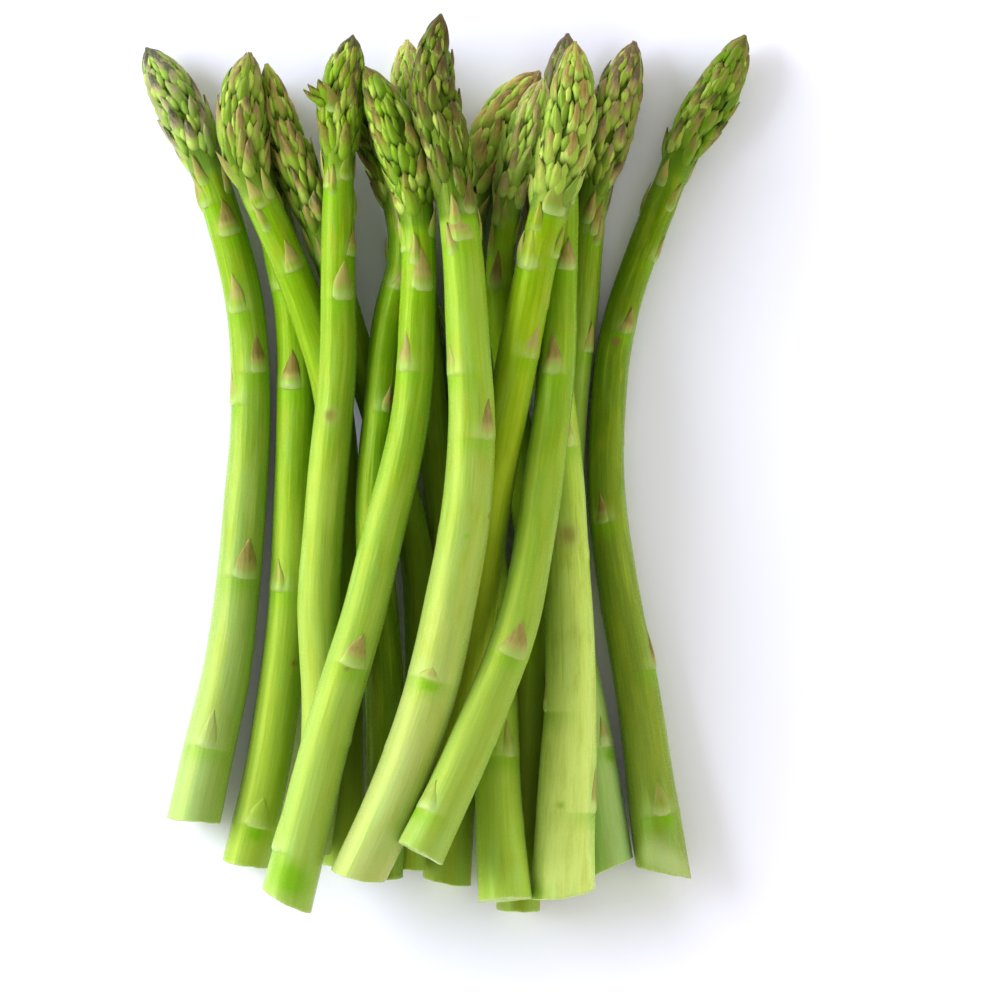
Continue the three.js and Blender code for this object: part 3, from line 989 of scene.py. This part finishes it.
class SpearShader(Shader):
    """Waxy green skin that pales to the foot, with scales that dry from tan to brown."""

    def __init__(self, name, look):
        super().__init__(name)
        self.top, self.low = (srgb(code) for code in look["skin"])
        self.fresh, self.dry_middle, self.dry_tip = (srgb(code) for code in look["head"])
        self.rest = self.attribute("rest", "Vector")
        self.foot = self.attribute("foot")
        self.tone = self.attribute("tone")
        self.dry = self.attribute("dry")
        self.in_head = self.remap(self.foot, 0.0, 0.02, 1.0, 0.0)
        self.streaks = self.noise(self.rest, **STREAKS)
        self.grain = self.noise(self.rest, **GRAIN)

    def tinge(self, colour, where, pattern, tinging, tint):
        """Mixes in a tint where a pattern has it and where is above 0."""
        low, high, strength = tinging
        share = self.times(where, self.remap(pattern, low, high, 0.0, strength))
        return self.mix(share, colour, tint)

    def cover(self, colour, value, strength, tint):
        """Mixes in a tint where one of the mesh's values says so."""
        return self.mix(self.times(self.attribute(value), strength), colour, tint)

    def stem_colour(self):
        """Green that pales to the cut end, in uneven tints with blotches and streaks."""
        clouds = self.noise(self.rest, **CLOUDS)
        tints = self.noise(self.rest, **TINTS)
        blotches = self.noise(self.rest, **BLOTCHES)
        paling = self.remap(self.plus(self.foot, self.times(clouds, 0.3)), 0.1, 1.2)
        colour = self.mix(paling, self.top, self.low)
        tinted = self.remap(self.foot, 0.0, 0.8, 0.35, 1.0)
        yellow = blended(self.low, YELLOW_GREEN, 0.35)
        mint = blended(self.low, MINT_GREEN, 0.45)
        colour = self.tinge(colour, tinted, tints, YELLOWING, yellow)
        colour = self.tinge(colour, tinted, tints, MINTING, mint)
        marked = self.remap(self.foot, 0.2, 1.0, 1.0, 0.4)
        colour = self.tinge(colour, marked, blotches, BLOTCHING, OLIVE)
        colour = self.tinge(colour, marked, self.streaks, LIGHTENING, LIGHT_STREAK)
        return self.tinge(colour, marked, self.streaks, DEEPENING, DEEP_STREAK)

    def with_head(self, colour):
        """The head's fresh green, with brighter and duller scales, and greener buds."""
        colour = self.mix(self.times(self.in_head, FRESH_COVER), colour, self.fresh)
        bud = self.times(self.attribute("bud"), self.remap(self.tone, 0.0, 1.0, 0.5, 1.0))
        colour = self.mix(bud, colour, blended(self.top, self.fresh, 0.8))
        colour = self.tinge(colour, self.in_head, self.tone, BRIGHTENING, BRIGHT_SCALE)
        return self.tinge(colour, self.in_head, self.tone, DULLING, DULL_SCALE)

    def with_drying(self, colour):
        """Dry scales: tan first, then brown or purple towards the point, broken up by veins."""
        patches = self.plus(self.times(self.grain, 0.5), self.noise(self.rest, **VEINS))
        patches = self.math("SUBTRACT", patches, 0.75)
        patches = self.times(patches, self.remap(self.in_head, 0.0, 1.0, 0.6, 1.3))
        dryness = self.plus(self.dry, patches)
        tan = self.mix(self.in_head, LEAF_TAN, self.dry_middle)
        brown = self.mix(self.in_head, LEAF_BROWN, self.dry_tip)
        colour = self.tinge(colour, EVERYWHERE, dryness, TANNING, tan)
        return self.tinge(colour, EVERYWHERE, dryness, BROWNING, brown)

    def with_cut_face(self, colour):
        """Pale flesh with darker fibres."""
        fibres = self.noise(self.rest, **FIBRES)
        flesh = self.mix(self.remap(fibres, 0.45, 0.62), FLESH, FLESH_DARK)
        return self.mix(self.attribute("cut"), colour, flesh)

    def finish(self):
        colour = self.with_head(self.stem_colour())
        colour = self.cover(colour, "lush", LUSH_COVER, LUSH_GREEN)
        colour = self.cover(colour, "pale", PALE_COVER, CREAM)
        colour = self.with_drying(colour)
        colour = self.cover(colour, "scar", SCAR_COVER, SCAR_BROWN)
        # Painted shade in the head's hollows and at the feet of its scales and buds.
        colour = self.cover(colour, "deep", PAINTED_SHADE_COVER, PAINTED_SHADE_GREEN)
        roughness = self.remap(self.grain, 0.2, 0.8, 0.2, 0.32)
        roughness = self.plus(roughness, self.times(self.dry, 0.25))
        ribs = self.bump(self.streaks, *RIB_BUMP)
        self.set(self.sockets["Base Color"], self.with_cut_face(colour))
        self.set(self.sockets["Roughness"], roughness)
        self.set(self.sockets["Normal"], self.bump(self.grain, *PORE_BUMP, ribs))
        for name, value in FINISH.items():
            self.set(self.sockets[name], value)
        return self.material


def make_spear(name, look, seed):
    rng = np.random.default_rng(seed)
    spine = Spine(name)
    surface = Surface()
    leaves = stem_leaves(spine, look, rng)
    add_stem(surface, spine, look, leaves, rng)
    for leaf in leaves:
        add_leaf(surface, spine, leaf)
    add_head(surface, spine, look, rng)
    if "tuft" in look:
        add_tuft(surface, spine, look["tuft"], rng)
    piece = add_object(name + "_skin", surface.mesh(name + "_skin"))
    piece.data.materials.append(SpearShader(name + "_material", look).finish())
    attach(piece, "root")
    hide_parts(name)


# The view's centre and width, in metres, and a long lens from straight above. The width is
# measured at about half the pile's height.
VIEW_CENTRE = (0.01363, -0.00901)
VIEW_WIDTH = 0.25
VIEW_HEIGHT = 0.02
LENS = 400.0
SENSOR = 36.0


def make_camera():
    data = bpy.data.cameras.new("camera")
    data.lens = LENS
    data.sensor_width = SENSOR
    camera = add_object("camera", data)
    distance = VIEW_WIDTH * LENS / SENSOR
    camera.location = (*VIEW_CENTRE, VIEW_HEIGHT + distance)
    bpy.context.scene.camera = camera


# Half the table's side in metres, its two whites, and its number of specks to a metre.
TABLE_HALF = 1.5
TABLE_WHITES = (srgb("fbf9ff"), srgb("fdfbff"))
TABLE_SPECKS = 40.0
TABLE_ROUGHNESS = 0.6


def make_table():
    """A white table top, far larger than the view."""
    mesh = bpy.data.meshes.new("table")
    sides = ((-1, -1), (1, -1), (1, 1), (-1, 1))
    corners = [(TABLE_HALF * x, TABLE_HALF * y, 0) for x, y in sides]
    mesh.from_pydata(corners, [], [(0, 1, 2, 3)])
    shader = Shader("table_white")
    place = shader.add("TexCoord", {}).outputs["Object"]
    specks = shader.noise(place, scale=TABLE_SPECKS)
    shader.set(shader.sockets["Base Color"], shader.mix(specks, *TABLE_WHITES))
    shader.set(shader.sockets["Roughness"], TABLE_ROUGHNESS)
    mesh.materials.append(shader.material)
    table = add_object("table", mesh)


# A cool lamp, in metres and watts, and a white studio's brightness straight overhead and at the
# horizon.
LAMP_PLACE = (-1.1, 0.3, 0.63)
LAMP_AIM = (0, 0, 0.02)
LAMP_SIZE = 0.9
LAMP_POWER = 13.8
LAMP_COLOUR = (0.90, 0.98, 1.24)
STUDIO_COLOUR = (1.0, 0.995, 1.01, 1.0)
OVERHEAD = 0.15
HORIZON = 1.95


def make_lamp():
    """A large soft lamp, low on the left."""
    data = bpy.data.lights.new("key", "AREA")
    data.shape = "DISK"
    data.size = LAMP_SIZE
    data.energy = LAMP_POWER
    data.color = LAMP_COLOUR
    lamp = add_object("key", data)
    lamp.location = LAMP_PLACE
    lamp.visible_camera = False
    lamp.rotation_mode = "QUATERNION"
    toward = Vector(np.subtract(LAMP_AIM, LAMP_PLACE))
    lamp.rotation_quaternion = toward.to_track_quat("-Z", "Y")


def make_studio():
    """White surroundings that are brightest low down."""
    world = bpy.data.worlds.new("studio")
    world.use_nodes = True
    nodes, links = world.node_tree.nodes, world.node_tree.links
    direction = nodes.new("ShaderNodeTexCoord")
    split = nodes.new("ShaderNodeSeparateXYZ")
    fade = nodes.new("ShaderNodeMapRange")
    fade.inputs["To Min"].default_value = HORIZON
    fade.inputs["To Max"].default_value = OVERHEAD
    links.new(direction.outputs["Generated"], split.inputs[0])
    links.new(split.outputs["Z"], fade.inputs["Value"])
    links.new(fade.outputs["Result"], nodes["Background"].inputs["Strength"])
    nodes["Background"].inputs["Color"].default_value = STUDIO_COLOUR
    bpy.context.scene.world = world
    bpy.context.scene.view_settings.view_transform = "Standard"
    bpy.context.scene.view_settings.look = "Medium High Contrast"


for number, (spear, look) in enumerate(SPEARS.items()):
    make_spear(spear, look, number)
make_camera()
make_table()
make_lamp()
make_studio()
